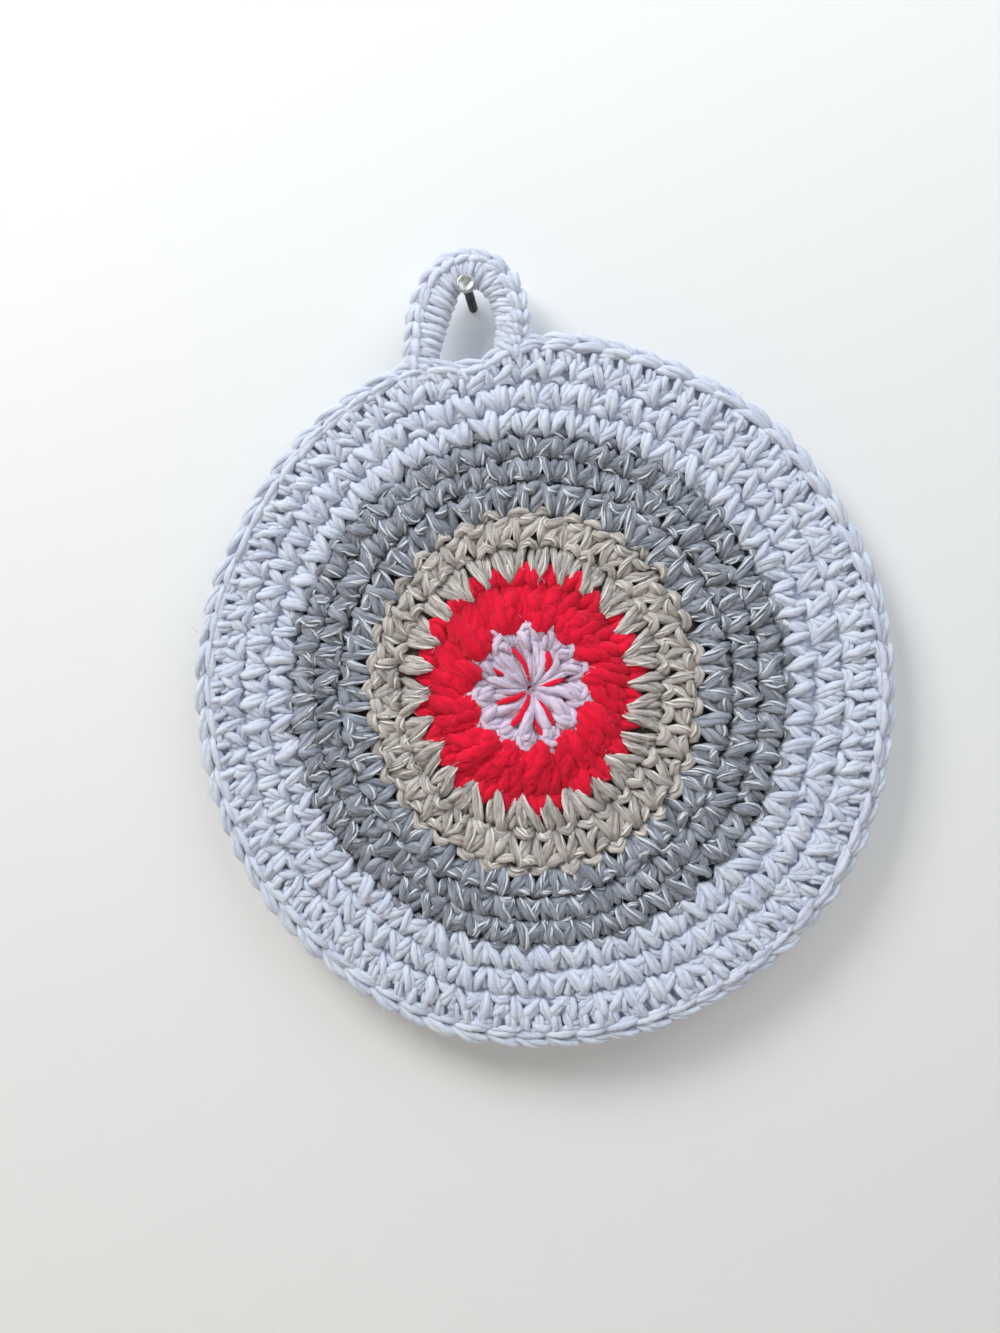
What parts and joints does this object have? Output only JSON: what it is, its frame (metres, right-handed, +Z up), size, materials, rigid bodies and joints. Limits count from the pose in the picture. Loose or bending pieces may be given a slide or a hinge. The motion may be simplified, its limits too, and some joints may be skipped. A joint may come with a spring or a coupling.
{
  "type": "crocheted pot holder on a nail",
  "caption": "Round crocheted cotton pot holder with a lilac, red, beige, grey and white ring pattern, hung by its crocheted loop from a round-headed nail.",
  "frame": {"origin": "middle of the nail where it enters the wall", "axes": "+Y into the wall, +Z up, +X to the right as one faces the wall"},
  "size_m": [0.1901, 0.016, 0.2178],
  "materials": {
    "cotton_yarn": "matte crocheted cotton, rounds of lilac, red, beige, grey and white",
    "white_yarn": "matte crocheted cotton",
    "steel": "bright drawn wire, a little dulled"
  },
  "bodies": {
    "root": {"crocheted_disc": "cotton_yarn", "hanging_loop": "white_yarn", "nail": "steel"}
  },
  "joints": []
}
